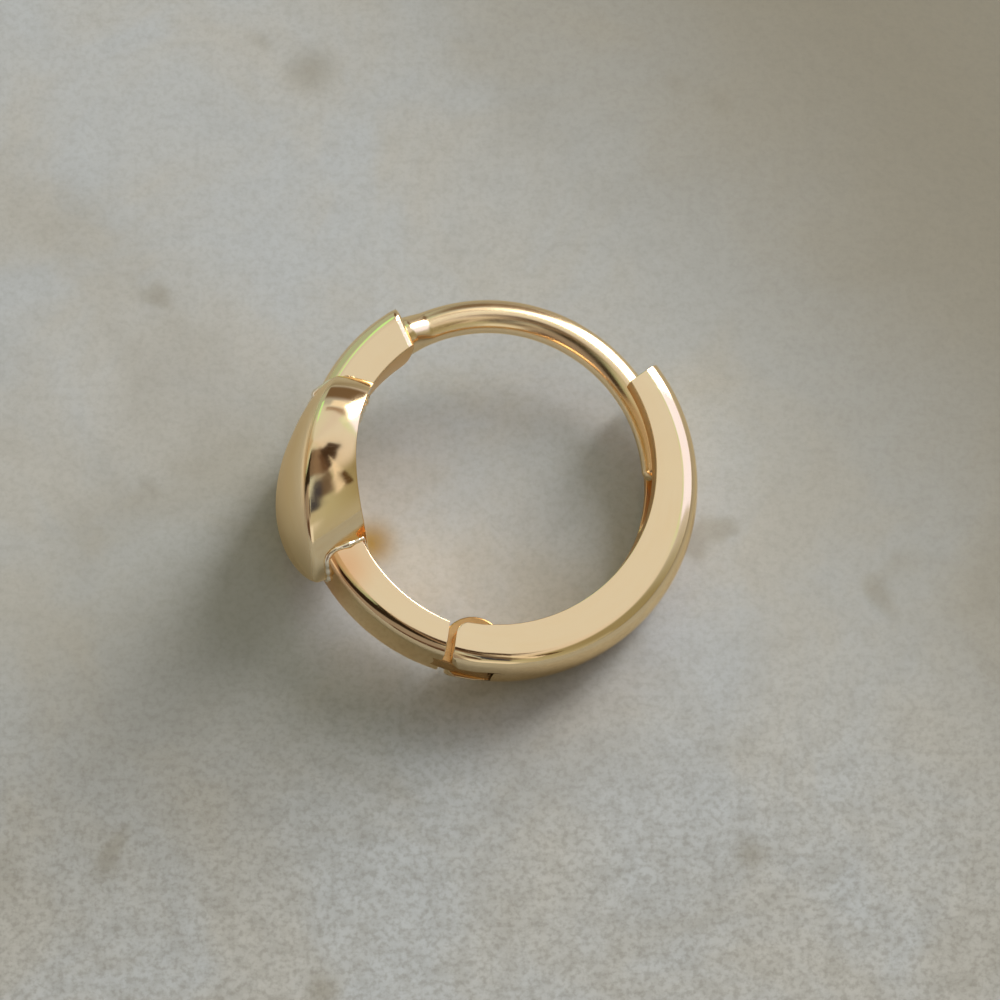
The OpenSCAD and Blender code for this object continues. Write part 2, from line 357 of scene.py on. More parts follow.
def mapped(tree, vector, scale, degrees=(0, 0, 0)):
    node = tree.nodes.new("ShaderNodeMapping")
    linked(tree, vector, node.inputs["Vector"])
    node.inputs["Rotation"].default_value = [math.radians(d) for d in degrees]
    node.inputs["Scale"].default_value = scale
    return node.outputs["Vector"]


def weighed(tree, one, other, shares):
    """The sum of two values, each times its share."""
    parts = [math_node(tree, "MULTIPLY", value, share) for value, share in zip((one, other), shares)]
    return math_node(tree, "ADD", *parts)


def polish_group():
    """Height and haze of a polished surface: lines left by the polishing wheel, and marks that cross them."""
    group, given, out = new_group(
        "polish_marks",
        [
            ("Place", "NodeSocketVector", None),
            ("Unrolled", "NodeSocketVector", None),
            ("Lines", "NodeSocketFloat", 1.0),
            ("Marks", "NodeSocketFloat", 1.0),
            ("Wave", "NodeSocketFloat", 1.0),
        ],
        [("Height", "NodeSocketFloat"), ("Haze", "NodeSocketFloat")],
    )
    lines = noise_node(group, mapped(group, given["Unrolled"], LINE_STRETCH), *LINE_NOISE)
    height = math_node(group, "MULTIPLY", math_node(group, "SUBTRACT", lines, NOISE_MID), given["Lines"])
    marks = None
    for degrees in MARK_TURNS:
        cut = noise_node(group, mapped(group, given["Place"], MARK_STRETCH, degrees), *MARK_NOISE)
        cut = ramped(group, cut, *MARK_CUT)
        marks = cut if marks is None else math_node(group, "MAXIMUM", marks, cut)
    dent = math_node(group, "MULTIPLY", marks, math_node(group, "MULTIPLY", given["Marks"], MARK_DENT))
    wave = noise_node(group, given["Place"], *WAVE_NOISE)
    wave = math_node(group, "MULTIPLY", math_node(group, "SUBTRACT", wave, NOISE_MID), given["Wave"])
    height = math_node(group, "ADD", height, dent)
    height = math_node(group, "ADD", height, math_node(group, "MULTIPLY", wave, WAVE_HEIGHT))
    linked(group, height, out["Height"])
    smear = ramped(group, noise_node(group, given["Place"], *SMEAR_NOISE), *SMEAR_CUT)
    linked(group, weighed(group, smear, marks, HAZE_SHARES), out["Haze"])
    return group


def tone_group():
    """A slow drift of the alloy's tone, with a deeper one in streaks along the band."""
    group, given, out = new_group(
        "gold_tone",
        [("Place", "NodeSocketVector", None), ("Unrolled", "NodeSocketVector", None)],
        [("Depth", "NodeSocketFloat")],
    )
    slow = ramped(group, noise_node(group, given["Place"], *SLOW_NOISE), *SLOW_CUT)
    streak = noise_node(group, mapped(group, given["Unrolled"], STREAK_STRETCH), *STREAK_NOISE)
    both = weighed(group, slow, ramped(group, streak, *STREAK_CUT), TONE_SHARES)
    linked(group, both, out["Depth"])
    return group


place_group = hoop_place_group()
polish_marks = polish_group()
gold_tone = tone_group()


def placed(tree, group, **values):
    node = tree.nodes.new("ShaderNodeGroup")
    node.node_tree = group
    for label, value in values.items():
        linked(tree, value, node.inputs[label])
    return node.outputs


def ring_share(tree, place, mid, low, high, up):
    """From none to all between two distances from a line along the pin's way, and none past a height."""
    span = tree.nodes.new("ShaderNodeVectorMath")
    span.operation = "MULTIPLY_ADD"
    linked(tree, place, span.inputs[0])
    span.inputs[1].default_value = (1, 1, 0)
    span.inputs[2].default_value = (-mid[0], -mid[1], 0)
    length = tree.nodes.new("ShaderNodeVectorMath")
    length.operation = "LENGTH"
    linked(tree, span.outputs[0], length.inputs[0])
    apart = tree.nodes.new("ShaderNodeSeparateXYZ")
    linked(tree, place, apart.inputs[0])
    off_flats = ramped(tree, math_node(tree, "ABSOLUTE", apart.outputs["Z"]), up, up - RING_SOFT)
    return math_node(tree, "MULTIPLY", ramped(tree, length.outputs["Value"], low, high), off_flats)


def gold(
    name,
    lines=1.0,
    marks=1.0,
    wave=1.0,
    smooth=0.07,
    dull=0.16,
    depth=0.35,
    tones=GOLD_TONES,
    worn_and_shade=None,
    heated=None,
):
    """A polished gold of its own for a piece: how strong its marks are, and how clear it is.

    Worn gives a part that was polished less, whose tone can be deepened as painted shade; heated gives a spot
    that the torch has reddened.
    """
    material = bpy.data.materials.new(name)
    material.use_nodes = True
    tree = material.node_tree
    shader = tree.nodes["Principled BSDF"]
    shader.inputs["Metallic"].default_value = 1.0
    shader.inputs["Specular Tint"].default_value = (*GOLD_EDGE, 1)
    here = placed(tree, place_group)
    strong = {"Lines": lines, "Marks": marks, "Wave": wave}
    marked = placed(tree, polish_marks, Place=here["Place"], Unrolled=here["Unrolled"], **strong)
    tone = placed(tree, gold_tone, Place=here["Place"], Unrolled=here["Unrolled"])
    share = ramped(tree, tone["Depth"], 0.0, 1.0, 0.0, depth, smooth=False)
    colour = mixed(tree, share, (*tones[0], 1), (*tones[1], 1))
    rough = ramped(tree, marked["Haze"], 0.0, 1.0, smooth, dull)
    if worn_and_shade:
        share = ring_share(tree, here["Place"], *worn_and_shade[:4])
        rough = math_node(tree, "MAXIMUM", rough, math_node(tree, "MULTIPLY", share, worn_and_shade[4]))
        # Painted shade: the worn part's tone is deepened towards the inside's shade tone.
        colour = mixed(tree, math_node(tree, "MULTIPLY", share, worn_and_shade[5]), colour, (*GOLD_INSIDE_SHADE, 1))
    if heated:
        share = ring_share(tree, here["Place"], heated[0], heated[1], 0.0, ANY_HEIGHT)
        colour = mixed(tree, math_node(tree, "MULTIPLY", share, heated[2]), colour, (*GOLD_HEATED, 1))
    linked(tree, colour, shader.inputs["Base Color"])
    linked(tree, rough, shader.inputs["Roughness"])
    bump = tree.nodes.new("ShaderNodeBump")
    bump.inputs["Strength"].default_value = 1.0
    bump.inputs["Distance"].default_value = BUMP_DEPTH
    linked(tree, marked["Height"], bump.inputs["Height"])
    linked(tree, bump.outputs["Normal"], shader.inputs["Normal"])
    return material


band_gold = gold("band_gold", worn_and_shade=BAND_WORN_AND_SHADE, heated=BAND_HEATED)
for piece in (upper_band, lower_band):
    piece.data.materials.append(band_gold)
    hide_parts("front_arch")
    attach(piece, "front")


# The hinge knuckle: a round tongue on the lower arm's end that turns between the back band's ears.
# It is cast with the arm, drilled for the pin, and left as cast where the ears hide it; its darker brown tone
# is painted shade of the slot between the ears.
TONGUE_HALF = 0.375
TONGUE_OUT_R = 5.75
TONGUE_END_X = 0.57
KNUCKLE_R = 0.9
# Dark brown tones: painted shade of the deep slot between the ears, over the rough cast gold.
KNUCKLE_SHADED_TONES = ((0.62, 0.38, 0.16), (0.40, 0.21, 0.07))
KNUCKLE_FROM = -50
KNUCKLE_TO = 158
PIN_HOLE_R = 0.33
TONGUE_LEAD = 0.06
TONGUE_UNDER = 0.01
TONGUE_STEPS = 24
KNUCKLE_STEPS = 80
KNUCKLE_EASED = 0.05
SLOT_SIDES = 96
WIRE_SIDES = 48
THROUGH = 2


def circle(mid, radius, sides):
    turns = [TURN * i / sides for i in range(sides)]
    return [(mid[0] + radius * math.cos(a), mid[1] + radius * math.sin(a)) for a in turns]


def prism(outline, low, high):
    return skinned([[Vector((x, y, z)) for x, y in outline] for z in (low, high)])


def at_pin(x, y):
    """A point given from the hinge pin, X along the band towards the back and Y towards the hoop's middle."""
    a = math.radians(HINGE_A + 90)
    return (PIN_AT.x + x * math.cos(a) - y * math.sin(a), PIN_AT.y + x * math.sin(a) + y * math.cos(a))


def knuckle_outline():
    """The tongue seen along the pin: along its outside to the round end, and back to the arm's inside."""
    start = math.radians(HINGE_A) - math.asin(SHOULDER_D / FACE_R) - TONGUE_LEAD
    stop = math.radians(HINGE_A) + math.asin(TONGUE_END_X / TONGUE_OUT_R)
    root_r = FRONT_FACE + FRONT_CROWN - TONGUE_UNDER
    points = []
    for i in range(TONGUE_STEPS + 1):
        share = i / TONGUE_STEPS
        points.append(polar(root_r + (TONGUE_OUT_R - root_r) * share, start + (stop - start) * share)[:2])
    for i in range(1, KNUCKLE_STEPS):
        a = math.radians(KNUCKLE_FROM + (KNUCKLE_TO - KNUCKLE_FROM) * i / KNUCKLE_STEPS)
        points.append(at_pin(KNUCKLE_R * math.cos(a), KNUCKLE_R * math.sin(a)))
    points.append(polar(bore_reach(FRONT_BORE, FACE_R - FRONT_WALL, start), start)[:2])
    return points


knuckle = finished(
    "hinge_knuckle",
    [prism(knuckle_outline(), -TONGUE_HALF, TONGUE_HALF)],
    [prism(circle(PIN_AT, PIN_HOLE_R, WIRE_SIDES), -THROUGH, THROUGH)],
    eased=KNUCKLE_EASED,
)
knuckle_gold = gold(
    "knuckle_gold", lines=0.5, marks=2.0, wave=4.0, smooth=0.2, dull=0.38, depth=1.0, tones=KNUCKLE_SHADED_TONES
)
knuckle.data.materials.append(knuckle_gold)
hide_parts("front_arch")
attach(knuckle, "front")


# The heart charm: a puffed heart seen from its side, with its tip towards the hinge. One thick pressed
# and soldered shape with a domed front, a crowned side wall and a back that follows the hoop's inside.
LOBE_R = 1.5
LOBE_AT = (1.3, 1.0)
TIP_DOWN = 3.2
FLANK_R = 4.0
CREST_DOWN = 0.1
BACK_R = 4.36
RIM_R = 5.6
RIM_MID = (-0.1, -0.7)
DOME_H = 0.5
BACK_SHARE = (0.76, 0.93)
PUFF = 3.0
WALL_CROWN = 0.05
OUTLINE_STEPS = 288
LINE_STEPS = 110
WALL_STEPS = 24
DOME_STEPS = 60
SWELL_REACH = 1.02
SWELL_POWER = 0.8
DOME_POWER = 1.5
RIM_ROUNDS = 2
HOLLOW_RINGS = (0.96, 0.8, 0.6, 0.4, 0.2)
CHARM_EASED = 0.03
CHARM_SHARP_A = 50
CHARM_WORN = (RIM_MID, RIM_R + 0.02, RIM_R + 0.12, ANY_HEIGHT, 0.34, 0.0)


def flank_centre():
    """Centre of the flank's circle: it holds the lobe's circle, touches it and passes through the tip."""
    lobe, tip = Vector(LOBE_AT), Vector((0, -TIP_DOWN))
    span = lobe - tip
    gap = span.length
    along = (gap**2 + FLANK_R**2 - (FLANK_R - LOBE_R) ** 2) / (2 * gap)
    aside = math.sqrt(FLANK_R**2 - along**2)
    way = span / gap
    return tip + way * along + Vector((-way.y, way.x)) * aside


FLANK_AT = flank_centre()
FLANK_FROM = FLANK_AT + (Vector(LOBE_AT) - FLANK_AT).normalized() * FLANK_R
HEART_MID = Vector((0, -CREST_DOWN))


def outline_point(a):
    """A point [sideways, up] of the heart's outline, at angle a from straight up."""
    way = Vector((abs(math.sin(a)), math.cos(a)))
    side = -1 if a > math.pi else 1
    to_flank = math.atan2(FLANK_FROM.x - HEART_MID.x, FLANK_FROM.y - HEART_MID.y)
    on_lobe = min(a, TURN - a) < to_flank
    mid, r = (Vector(LOBE_AT), LOBE_R) if on_lobe else (FLANK_AT, FLANK_R)
    away = mid - HEART_MID
    along = away.dot(way)
    reach = along + math.sqrt(along**2 - away.dot(away) + r**2)
    return Vector((side * reach * way.x, HEART_MID.y + reach * way.y))


def rim_at(y):
    return RIM_MID[0] - math.sqrt(RIM_R**2 - (y - RIM_MID[1]) ** 2)


def back_at(y):
    return -math.sqrt(BACK_R**2 - y**2)


def heart_line(p, outward):
    """The heart's section, from its back edge over the side wall and the rim to the crest, as one line."""
    tall = LOBE_AT[1] + LOBE_R + TIP_DOWN
    share = BACK_SHARE[0] + (BACK_SHARE[1] - BACK_SHARE[0]) * (p.y + TIP_DOWN) / tall
    back = Vector((back_at(p.y * share), p.y * share, p.x))
    rim = Vector((rim_at(p.y), p.y, p.x))
    line = []
    for i in range(WALL_STEPS):
        depth = i / WALL_STEPS
        swell = WALL_CROWN * math.sin(math.pi * min(1.0, depth * SWELL_REACH)) ** SWELL_POWER
        line.append(back.lerp(rim, depth) + Vector((0, outward.y, outward.x)) * swell)
    for i in range(DOME_STEPS):
        a = math.pi / 2 * (i / DOME_STEPS) ** DOME_POWER
        at = HEART_MID + (p - HEART_MID) * math.cos(a) ** (2 / PUFF)
        line.append(Vector((rim_at(at.y) - DOME_H * math.sin(a), at.y, at.x)))
    line.append(Vector((rim_at(HEART_MID.y) - DOME_H, HEART_MID.y, HEART_MID.x)))
    return line


def evened(line, count):
    """The line as count points at even steps along it."""
    spans = [0.0]
    for one, other in zip(line, line[1:]):
        spans.append(spans[-1] + (other - one).length)
    points, at = [], 0
    for i in range(count):
        want = spans[-1] * (i / (count - 1))
        while at < len(line) - 2 and spans[at + 1] < want:
            at += 1
        step = spans[at + 1] - spans[at]
        points.append(line[at].lerp(line[at + 1], (want - spans[at]) / step if step else 0))
    return points


def softened(line, rounds):
    """Rounds the rim: each point moves to the middle of its neighbours, and both ends stay."""
    for _ in range(rounds):
        moved = [a * 0.25 + b * 0.5 + c * 0.25 for a, b, c in zip(line, line[1:], line[2:])]
        line = [line[0]] + moved + [line[-1]]
    return line


def heart():
    shape = bmesh.new()
    outline = [outline_point(TURN * i / OUTLINE_STEPS) for i in range(OUTLINE_STEPS)]
    lines = []
    for i, p in enumerate(outline):
        along = outline[(i + 1) % OUTLINE_STEPS] - outline[i - 1]
        outward = Vector((-along.y, along.x)).normalized()
        if outward.dot(p - HEART_MID) < 0:
            outward.negate()
        lines.append(softened(evened(heart_line(p, outward), LINE_STEPS), RIM_ROUNDS))
    grid = [[shape.verts.new(point) for point in line[:-1]] for line in lines]
    crest = shape.verts.new(lines[0][-1])
    hollow = []
    for ring in HOLLOW_RINGS:
        row = []
        for line in lines:
            y, z = line[0].y * ring, line[0].z * ring
            row.append(shape.verts.new((back_at(y), y, z)))
        hollow.append(row)
    middle = shape.verts.new((-BACK_R, 0, 0))
    for i in range(OUTLINE_STEPS):
        j = (i + 1) % OUTLINE_STEPS
        for a, b, c, d in zip(grid[i], grid[i][1:], grid[j][1:], grid[j]):
            shape.faces.new((a, b, c, d))
        shape.faces.new((grid[i][-1], crest, grid[j][-1]))
        shape.faces.new((grid[i][0], grid[j][0], hollow[0][j], hollow[0][i]))
        for near, far in zip(hollow, hollow[1:]):
            shape.faces.new((near[i], near[j], far[j], far[i]))
        shape.faces.new((hollow[-1][i], hollow[-1][j], middle))
    bmesh.ops.recalc_face_normals(shape, faces=shape.faces)
    return shape


heart_shape = heart()
heart_tree = BVHTree.FromBMesh(heart_shape)
charm = finished("heart_charm", [heart_shape], eased=CHARM_EASED, sharp=CHARM_SHARP_A)
charm_gold = gold("charm_gold", lines=0.3, marks=0.8, wave=2.0, smooth=0.08, dull=0.16, worn_and_shade=CHARM_WORN)
charm.data.materials.append(charm_gold)
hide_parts("front_arch")
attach(charm, "front")


# The solder seams: where each arm runs into the heart, solder has flowed into an uneven bead.
# It is a little rougher than the gold, with pits that glint, and paler: partly the solder's own tone, partly
# a painted highlight.
SEAMS = (
    # name, from and to angle along the arm, thickness, where its lumps start
    ("upper", 150, 175, 0.125, 3.0),
    ("lower", -138, -178, 0.085, 8.0),
)
# Paler tones: partly the solder's own colour, partly a painted highlight of the bead's glints.
SEAM_TONES_AND_SHEEN = ((0.98, 0.89, 0.74), (0.93, 0.74, 0.50))
SEAM_POINTS = 220
SEAM_STEPS = 90
SEAM_SIDES = 14
UPRIGHT = 0.1
# How coarse and how strong the bead's lumps and its finer unevenness are.
LUMPS = (3.0, 0.6)
FINE_LUMPS = (8.0, 0.25)


def seam_path(from_a, to_a):
    """Where the arm's surface, followed from one angle to another, first meets the heart."""
    path = []
    inner = bore_reach(FRONT_BORE, FACE_R - FRONT_WALL, (from_a + to_a) / 2)
    profile = band_profile(FRONT_FACE, FRONT_CROWN, FRONT_EDGE)
    corners = [Vector((reached(out, inner), up)) for out, up in profile]
    loop = evened([c.to_3d() for c in corners + corners[:1]], SEAM_POINTS + 1)[:-1]
    for point in loop:
        last = polar(point.x, from_a, point.y)
        for i in range(1, SEAM_STEPS + 1):
            here = polar(point.x, from_a + (to_a - from_a) * i / SEAM_STEPS, point.y)
            way = here - last
            hit = heart_tree.ray_cast(last, way.normalized(), way.length)[0]
            if hit:
                path.append(hit)
                break
            last = here
    return path


def bead(path, radius, seed):
    """A tube of uneven thickness along a closed path."""
    rings, count = [], len(path)
    for i, point in enumerate(path):
        along = (path[(i + 1) % count] - path[i - 1]).normalized()
        aside = along.cross(Vector((0, 0, 1)))
        aside = aside.normalized() if aside.length > UPRIGHT else Vector((1, 0, 0))
        upward = aside.cross(along).normalized()
        lump = noise.noise(point * LUMPS[0] + Vector((seed, 0, 0))) * LUMPS[1]
        fine = noise.noise(point * FINE_LUMPS[0] + Vector((0, seed, 0))) * FINE_LUMPS[1]
        thick = radius * (1 + lump + fine)
        section = circle((0, 0), thick, SEAM_SIDES)
        rings.append([point + aside * x + upward * y for x, y in section])
    shape = bmesh.new()
    grid = [[shape.verts.new(p) for p in ring] for ring in rings]
    for i in range(count):
        low, high = grid[i], grid[(i + 1) % count]
        for k in range(SEAM_SIDES):
            m = (k + 1) % SEAM_SIDES
            shape.faces.new((low[k], low[m], high[m], high[k]))
    bmesh.ops.recalc_face_normals(shape, faces=shape.faces)
    return shape


seam_gold = gold(
    "seam_gold", lines=0.0, marks=3.0, wave=6.0, smooth=0.1, dull=0.3, depth=0.6, tones=SEAM_TONES_AND_SHEEN
)
for label, from_a, to_a, thick, seed in SEAMS:
    path = seam_path(math.radians(from_a), math.radians(to_a))
    seam = finished("solder_seam_" + label, [bead(path, thick, seed)], eased=0)
    seam.data.materials.append(seam_gold)
    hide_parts("front_arch")
    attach(seam, "front")


# The ear post: round gold wire bent to the hoop's curve and soldered into the upper arm's end face.
# It goes through the ear and clicks into the back band's groove, where its tip is rounded.
WIRE_R = 0.475
POST_MID = (-0.03, 0.14)
POST_R = 4.75
POST_ROOT_A = 127.0
POST_END_A = 0.0
FLARE_UP = 0.3
FLARE_OUT = 0.05
FLARE_LENGTH = 0.55
TIP_LENGTH = 0.33
TIP_FLAT = 0.03
FACE_INSET_A = 1.2
FLARE_POWER = 1.15
POST_STEPS = 200
POST_SIDES = 64


def post():
    rings = []
    length = math.radians(POST_ROOT_A - POST_END_A) * POST_R
    face_at = math.radians(POST_ROOT_A - FRONT_END_A + FACE_INSET_A) * POST_R
    for i in range(POST_STEPS + 1):
        along = length * i / POST_STEPS
        share = max(0.0, 1 - max(0.0, along - face_at) / FLARE_LENGTH) ** FLARE_POWER
        tip = 1 - min(1.0, (length - along) / TIP_LENGTH)
        narrow = math.sqrt(1 - tip**2) * (1 - TIP_FLAT) + TIP_FLAT
        thick_out = (WIRE_R + FLARE_OUT * share) * narrow
        thick_up = (WIRE_R + FLARE_UP * share) * narrow
        mid_r = POST_R + FLARE_OUT * share
        a = math.radians(POST_ROOT_A) - along / POST_R
        ring = []
        for x, y in circle((0, 0), 1, POST_SIDES):
            r = mid_r + thick_out * x
            ring.append(Vector((POST_MID[0] + r * math.cos(a), POST_MID[1] + r * math.sin(a), thick_up * y)))
        rings.append(ring)
    return skinned(rings)


ear_post = finished("ear_post", [post()], eased=0)
post_gold = gold("post_gold", lines=0.6, marks=0.6, wave=0.6, smooth=0.19, dull=0.24)
ear_post.data.materials.append(post_gold)
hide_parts("front_arch")
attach(ear_post, "front")


# The back band: the other half of the hoop, with two ears round the knuckle at its lower end.
# Cast in one piece; the slot between the ears and the groove for the post are milled.
BACK_OUT_R = 5.82
BACK_EDGE = 0.5
BACK_FACE_MORE = 0.1
BACK_WALL = 0.43
BACK_BORE = (-0.31, 0.27)
BACK_TIP_A = 37.0
EAR_END_D = 0.61
EAR_IN_D = 0.508
EAR_CORNER_R = 0.37
EAR_SWING_R = 0.8
SLOT_R = 0.96
SLOT_HALF = 0.415
GROOVE_R = 0.525
GROOVE_FROM_A = -20.0
GROOVE_FULL_A = -3.0
GROOVE_RUN_OUT = 0.5
PIN_R = 0.3
SKIN = 0.2
PIN_FIT = 0.01
BACK_STEPS = 130
# Sections of the ears, as shares of how far they reach past the pin, and where the full band takes over.
EAR_SHARES = (-1.2, -0.82, -0.7, -0.58, -0.46, -0.34, -0.22, -0.1, 0.02, 0.14, 0.26, 0.38)
EAR_TURN = 0.18
# From this angle down the flat reaches further out, and its edge is that much sharper.
FACE_MORE_A = -80
FACE_MORE_EDGE = 0.9
CORNER_STEPS = 12
SWING_STEPS = 16
SWING_END_A = 272
CUT_FROM_X = 0.03
CUT_FAR = 3
GROOVE_STEPS = 90
GROOVE_SIDES = 24
GROOVE_PAST_A = 12
GROOVE_FALL = 1.5
GROOVE_OPEN = 1
# The back band's inside, polished less and painted darker as shade of the hoop's inside that it reflects.
BACK_WORN_AND_SHADE = ((0, 0), 5.02, 4.92, HALF_W - 0.01, 0.3, 1.0)


def back_arch_rings():
    """Sections of the band: straight ones across the ears, at a distance from the pin, then round ones."""
    pin_a = math.radians(HINGE_A)
    start = pin_a + EAR_TURN
    stop = math.radians(BACK_TIP_A)
    sections = [(None, EAR_END_D * share) for share in EAR_SHARES]
    sections += [(start + (stop - start) * i / BACK_STEPS, None) for i in range(BACK_STEPS + 1)]
    rings = []
    for a, x in sections:
        middle = a if a is not None else pin_a + math.asin(x / FACE_R)
        inner = bore_reach(BACK_BORE, FACE_R - BACK_WALL, middle)
        more = BACK_FACE_MORE * max(0.0, min(1.0, math.degrees(middle) / FACE_MORE_A))
        ring = []
        edge = BACK_EDGE - more * FACE_MORE_EDGE
        for out, up in band_profile(FACE_R + more, BACK_OUT_R - FACE_R - more, edge):
            r = reached(out, inner)
            ring.append(polar(r, a if a is not None else pin_a + math.asin(x / r), up))
        rings.append(ring)
    return rings


def ear_end_outline():
    """What is cut away past the ears: a rounded inner corner, a straight end, and an arc about the pin."""
    points = []
    for i in range(CORNER_STEPS + 1):
        a = math.radians(90 + 90 * i / CORNER_STEPS)
        x = EAR_CORNER_R - EAR_END_D + EAR_CORNER_R * math.cos(a)
        points.append((x, EAR_IN_D - EAR_CORNER_R + EAR_CORNER_R * math.sin(a)))
    start = 180 + math.degrees(math.acos(EAR_END_D / EAR_SWING_R))
    for i in range(SWING_STEPS + 1):
        a = math.radians(start + (SWING_END_A - start) * i / SWING_STEPS)
        points.append((EAR_SWING_R * math.cos(a), EAR_SWING_R * math.sin(a)))
    points += [(CUT_FROM_X, -THROUGH), (-CUT_FAR, -THROUGH), (-CUT_FAR, THROUGH), (points[0][0], THROUGH)]
    return [at_pin(x, y) for x, y in points]


def groove():
    """The cut for the post: half a round channel, open to the hoop's middle, that runs out at one end."""
    low = math.radians(GROOVE_FROM_A)
    full = math.radians(GROOVE_FULL_A)
    high = math.radians(BACK_TIP_A + GROOVE_PAST_A)
    rings = []
    for i in range(GROOVE_STEPS + 1):
        a = low + (high - low) * i / GROOVE_STEPS
        mid = POST_R - GROOVE_RUN_OUT * max(0.0, (full - a) / (full - low)) ** GROOVE_FALL
        section = [(mid - GROOVE_OPEN, -GROOVE_R)]
        for k in range(GROOVE_SIDES + 1):
            turn = math.pi * k / GROOVE_SIDES
            section.append((mid + GROOVE_R * math.sin(turn), -GROOVE_R * math.cos(turn)))
        section.append((mid - GROOVE_OPEN, GROOVE_R))
        way = (math.cos(a), math.sin(a))
        rings.append([Vector((POST_MID[0] + r * way[0], POST_MID[1] + r * way[1], z)) for r, z in section])
    return skinned(rings)


back_band = finished(
    "back_band",
    [skinned(back_arch_rings())],
    [
        prism(ear_end_outline(), -THROUGH, THROUGH),
        prism(circle(PIN_AT, SLOT_R, SLOT_SIDES), -SLOT_HALF, SLOT_HALF),
        groove(),
        prism(circle(PIN_AT, PIN_R + PIN_FIT, WIRE_SIDES), -THROUGH, HALF_W - SKIN),
    ],
)
back_gold = gold("back_gold", wave=0.8, worn_and_shade=BACK_WORN_AND_SHADE)
back_band.data.materials.append(back_gold)
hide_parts("back_arch")
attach(back_band, "back")


# The hinge pin: a short gold wire through both ears and the knuckle. Its far end is filed flush
# and slightly domed; the near end stays under a skin of metal.
PIN_SECTIONS = (
    # height, share of its thickness
    (-1.08, 0.7),
    (-1.06, 0.9),
    (-1.02, 1.0),
    (0.85, 1.0),
    (0.88, 0.9),
)


def pin():
    rings = []
    for z, share in PIN_SECTIONS:
        rings.append([Vector((x, y, z)) for x, y in circle(PIN_AT, PIN_R * share, WIRE_SIDES)])
    return skinned(rings)


hinge_pin = finished("hinge_pin_wire", [pin()], eased=0)
pin_gold = gold("pin_gold", lines=0.0, marks=2.0, wave=1.0, smooth=0.14, dull=0.3)
hinge_pin.data.materials.append(pin_gold)
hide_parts("hinge_pin")
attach(hinge_pin, "back")


# The floor: pale grey-beige stone under the hoop, with grain that is coarser in front, faint clouds and
# blotches, a few brown spots, a painted amber reflection of the gold's light at the charm, a painted shadow
# beside it and painted shade on the side at the ear post, where the light falls off. Sizes here are in
# metres.
STONE_COOL = (0.475, 0.505, 0.52)
STONE_WARM = (0.485, 0.485, 0.455)
STONE_BROWN = (0.29, 0.27, 0.215)
STONE_GRAIN = (0.22, 0.21, 0.18)
STAINS_AND_PAINTED_LIGHT = (
    # middle, reach, strength, tone
    ((-0.0052, 0.0140, 0), 0.0012, 0.55, STONE_BROWN),
    ((0.0073, -0.0104, 0), 0.0008, 0.6, STONE_BROWN),
    ((-0.0048, -0.0143, 0), 0.0008, 0.6, STONE_BROWN),
    # Painted shadow: the hoop's broad soft shadow to the lower left, made darker.
    ((-0.0105, -0.0055, 0), 0.0105, 0.42, STONE_BROWN),
    # Painted reflection: the amber light that the gold throws onto the stone by the charm.
    ((-0.00345, -0.00085, 0), 0.0011, 1.0, (0.33, 0.215, 0.06)),
)
FLOOR_HALF = 0.4
FLOOR_CUTS = 8
CLOUD_NOISE = (180.0, 4.0, 0.55, 0.6)
CLOUD_CUT = (0.35, 0.68)
BLOTCH_NOISE = (95.0, 3.0, 0.6, 0.4)
BLOTCH_CUT = (0.48, 0.72, 0.0, 0.35)
SHADED_SLANT = 0.7
SHADED_SIDE = (0.002, 0.023)
SPOT_NOISE = (240.0, 2.0, 0.5, 0.3)
SPOT_CUT = (0.66, 0.74, 0.0, 0.5)
GRAIN_NOISE = (1500.0, 5.0, 0.65)
GRAIN_CUT = (0.35, 0.8)
SPECKLE_NOISE = (5200.0, 2.0, 0.6)
SPECKLE_CUT = (0.4, 0.7)
COARSE_FRONT = (-0.002, -0.012, 0.14, 0.4)
STONE_ROUGH = 0.75
STONE_GLOSS = 0.25
STONE_BUMP = (0.3, 0.00004)


